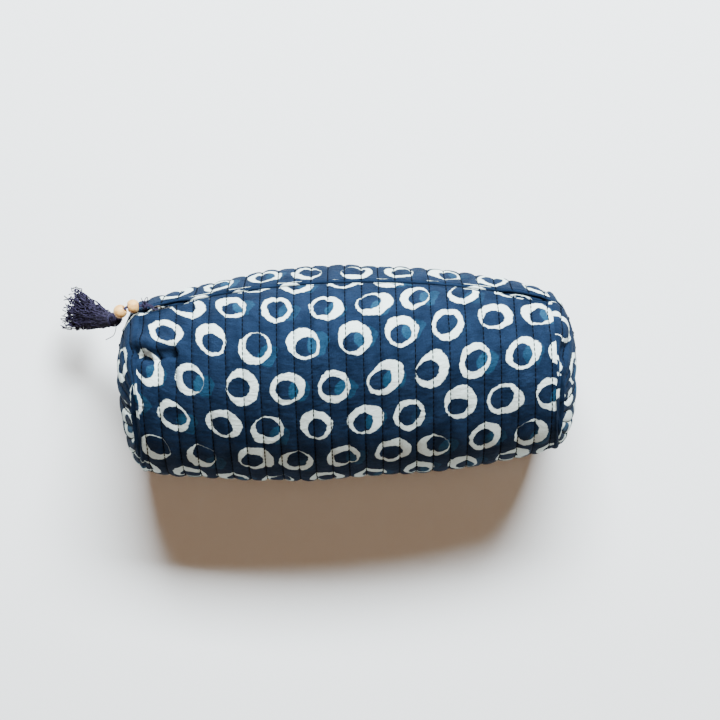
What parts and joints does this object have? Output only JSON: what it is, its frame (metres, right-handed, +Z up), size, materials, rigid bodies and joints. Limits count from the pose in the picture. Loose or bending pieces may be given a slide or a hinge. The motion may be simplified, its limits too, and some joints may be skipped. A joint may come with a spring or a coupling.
{
  "type": "quilted zip pouch",
  "caption": "Soft box-cornered quilted cotton pouch lying on its back, closed by an arched zip with a beaded tassel pull; holds small toiletries or pencils",
  "frame": {"origin": "centre of the footprint box on the floor, measured without the hanging pull", "axes": "X along the pouch to the right, Y towards the zip side, Z up out of the front panel as the pouch lies on its back"},
  "size_m": [0.2778, 0.116, 0.108],
  "materials": {
    "quilted_cotton": "quilted cotton, indigo block print with off-white rings",
    "zip_tape": "woven polyester tape",
    "zip_coil": "nylon coil",
    "slider_metal": "plated zinc",
    "pull_cord": "twisted cotton cord",
    "bead_wood": "pale turned wood",
    "tassel_thread": "loose cotton threads"
  },
  "bodies": {
    "pouch": {"quilted_body": "quilted_cotton", "zip_tape_front": "zip_tape", "zip_tape_back": "zip_tape", "zip_coil_front": "zip_coil", "zip_coil_back": "zip_coil"},
    "slider": {"zip_slider": "slider_metal", "pull_cord": "pull_cord", "cord_knot": "pull_cord", "bead_upper": "bead_wood", "bead_lower": "bead_wood", "tassel_binding": "tassel_thread", "tassel_threads": "tassel_thread"}
  },
  "joints": [
    {"name": "zip_travel", "type": "hinge", "parent": "pouch", "child": "slider", "pos_m": [0, -0.33343, -0.1253], "axis": [0, 0.4695, -0.8829], "range_deg": [0, 26.5], "deforming": ["pull_cord", "tassel_binding", "tassel_threads"]}
  ]
}
